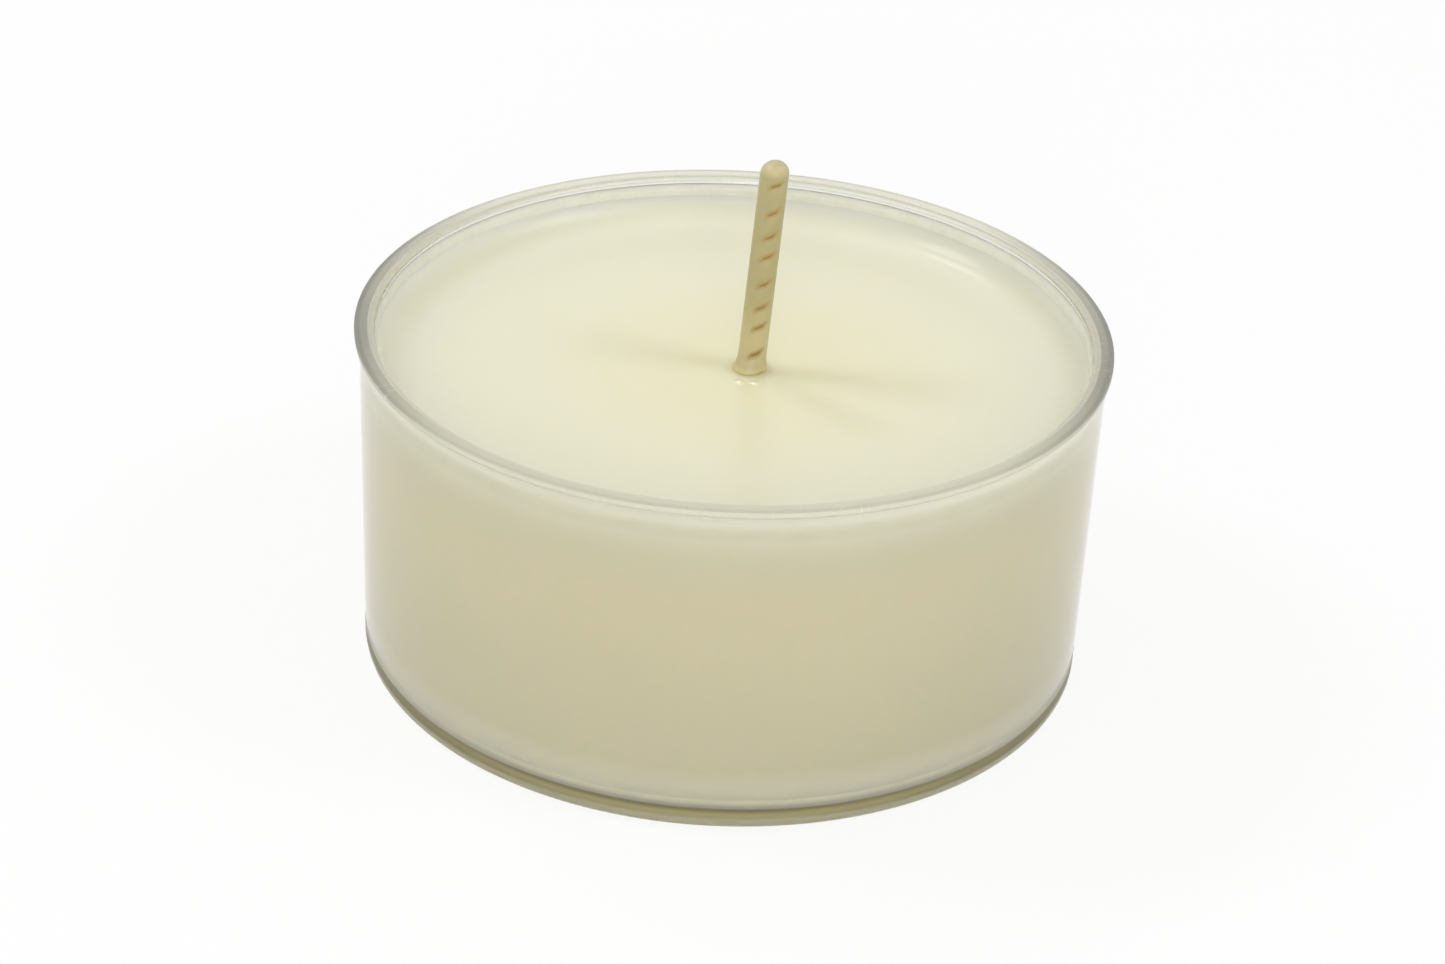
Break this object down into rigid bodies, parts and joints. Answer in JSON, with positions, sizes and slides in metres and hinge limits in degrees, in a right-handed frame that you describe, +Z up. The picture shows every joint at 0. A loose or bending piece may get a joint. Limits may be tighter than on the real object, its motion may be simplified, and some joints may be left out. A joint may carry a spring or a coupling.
{
  "type": "tea light candle",
  "caption": "Round tea light: ivory wax filled round a twisted cotton wick in a clear plastic cup with a thin rim lip and a foot ring.",
  "frame": {"origin": "centre of the foot ring's circle, on the plane that the cup stands on", "axes": "+Z up along the cup's axis; +X the way the wick leans; -Y towards the camera of the picture"},
  "size_m": [0.0384, 0.0384, 0.0273],
  "materials": {
    "clear_cup": "clear moulded polycarbonate, polished",
    "ivory_wax": "poured ivory wax, satin and slightly translucent",
    "waxed_cotton": "twisted cotton soaked in wax",
    "tinned_steel": "bright tinned sheet"
  },
  "bodies": {
    "root": {"cup": "clear_cup", "wax_fill": "ivory_wax", "wick": "waxed_cotton", "wick_sustainer": "tinned_steel"}
  },
  "joints": []
}
